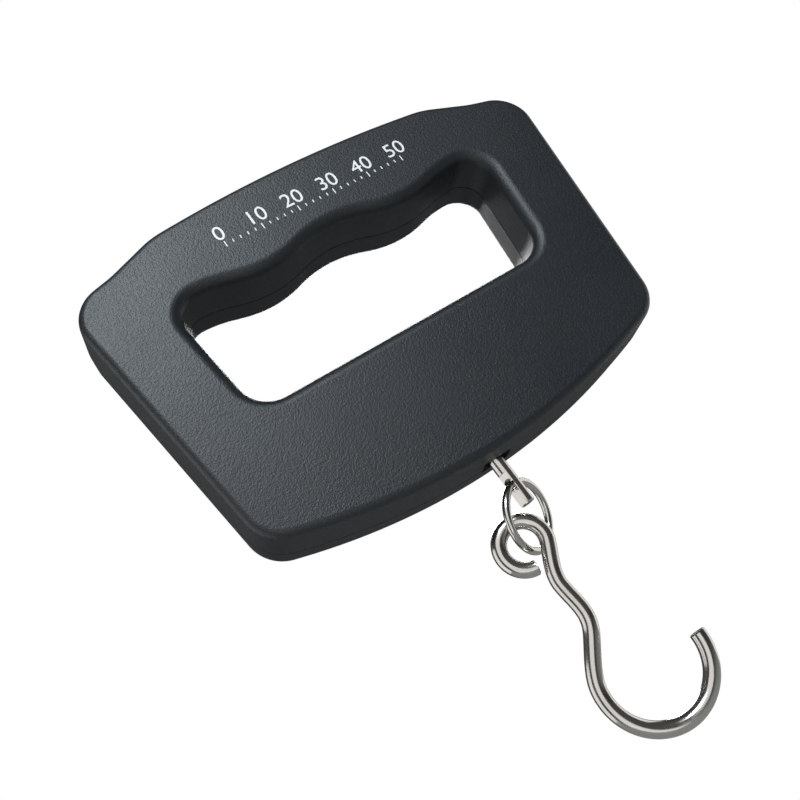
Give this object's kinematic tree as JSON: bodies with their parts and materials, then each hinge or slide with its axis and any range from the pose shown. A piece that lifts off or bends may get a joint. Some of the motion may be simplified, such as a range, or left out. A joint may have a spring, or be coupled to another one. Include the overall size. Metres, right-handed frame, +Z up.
{
  "type": "digital luggage scale",
  "caption": "Hand-held hanging scale: a flat casing with a finger-shaped hand hole, a display and buttons on one side, and a swivelling stem, ring and steel hook below.",
  "frame": {"origin": "middle of the hand hole's upper edge, half way through the casing's depth, where the fingers carry the scale", "axes": "+Z up as it hangs in use, +Y out of the side with the display, +X to the right of the plain side"},
  "size_m": [0.1398, 0.0235, 0.1733],
  "materials": {
    "casing_plastic": "fine spark texture",
    "button_plastic": "fine matt",
    "tinted_window": "polished, smoke tinted",
    "polished_steel": "polished round wire and rod",
    "zinc_plate": "bright zinc plated",
    "milled_aluminium": "milled bar",
    "board_laminate": "solder mask",
    "display_cell": "grey-green liquid crystal cell",
    "black_resin": "moulded resin",
    "gauge_foil": "polyimide backed foil",
    "strip_rubber": "soft conductive strip",
    "clear_acrylic": "edge-lit diffuser"
  },
  "bodies": {
    "casing": {"front_cover": "casing_plastic", "rear_cover": "casing_plastic", "case_screw_1": "zinc_plate", "case_screw_2": "zinc_plate", "case_screw_3": "zinc_plate", "case_screw_4": "zinc_plate", "case_screw_5": "zinc_plate", "case_screw_6": "zinc_plate", "load_cell": "milled_aluminium", "load_cell_screw_1": "zinc_plate", "load_cell_screw_2": "zinc_plate", "strain_gauge_left_lower": "gauge_foil", "strain_gauge_left_upper": "gauge_foil", "strain_gauge_right_lower": "gauge_foil", "strain_gauge_right_upper": "gauge_foil", "cell_ribbon": "black_resin", "circuit_board": "board_laminate", "board_screw_1": "zinc_plate", "board_screw_2": "zinc_plate", "board_screw_3": "zinc_plate", "board_screw_4": "zinc_plate", "controller_dome": "black_resin", "light_guide": "clear_acrylic", "display_strip": "strip_rubber", "display_glass": "display_cell", "display_lens": "tinted_window", "switch_power": "black_resin", "switch_tare": "black_resin", "switch_unit": "black_resin", "battery_contact_negative": "zinc_plate", "battery_contact_positive": "zinc_plate", "coin_cell": "polished_steel", "thrust_washer": "zinc_plate"},
    "battery_door": {"battery_door": "casing_plastic"},
    "button_power": {"button_power": "button_plastic"},
    "button_tare": {"button_tare": "button_plastic"},
    "button_unit": {"button_unit": "button_plastic"},
    "hanger": {"hanger_stem": "polished_steel", "hanger_nut": "zinc_plate"},
    "ring": {"ring": "polished_steel"},
    "hook": {"hook": "polished_steel"}
  },
  "joints": [
    {"name": "hanger_swivel", "type": "hinge", "parent": "casing", "child": "hanger", "pos_m": [0, 0, -0.0448], "axis": [0, 0, 1], "continuous": true},
    {"name": "ring_swing", "type": "hinge", "parent": "hanger", "child": "ring", "pos_m": [0, 0, -0.0819], "axis": [0.809, 0.5878, 0], "range_deg": [-35, 35]},
    {"name": "hook_swing", "type": "hinge", "parent": "ring", "child": "hook", "pos_m": [-0.0072, 0.0011, -0.0956], "axis": [-0.1736, -0.9848, 0], "range_deg": [-35, 35]},
    {"name": "battery_door_turn", "type": "hinge", "parent": "casing", "child": "battery_door", "pos_m": [-0.039, 0.0095, -0.0524], "axis": [0, 1, 0], "range_deg": [0, 55]},
    {"name": "button_power_press", "type": "slide", "parent": "casing", "child": "button_power", "axis": [0, -1, 0], "range_m": [0, 0.0004], "stiffness_N_per_m": 600},
    {"name": "button_tare_press", "type": "slide", "parent": "casing", "child": "button_tare", "axis": [0, -1, 0], "range_m": [0, 0.0004], "stiffness_N_per_m": 600},
    {"name": "button_unit_press", "type": "slide", "parent": "casing", "child": "button_unit", "axis": [0, -1, 0], "range_m": [0, 0.0004], "stiffness_N_per_m": 600}
  ]
}
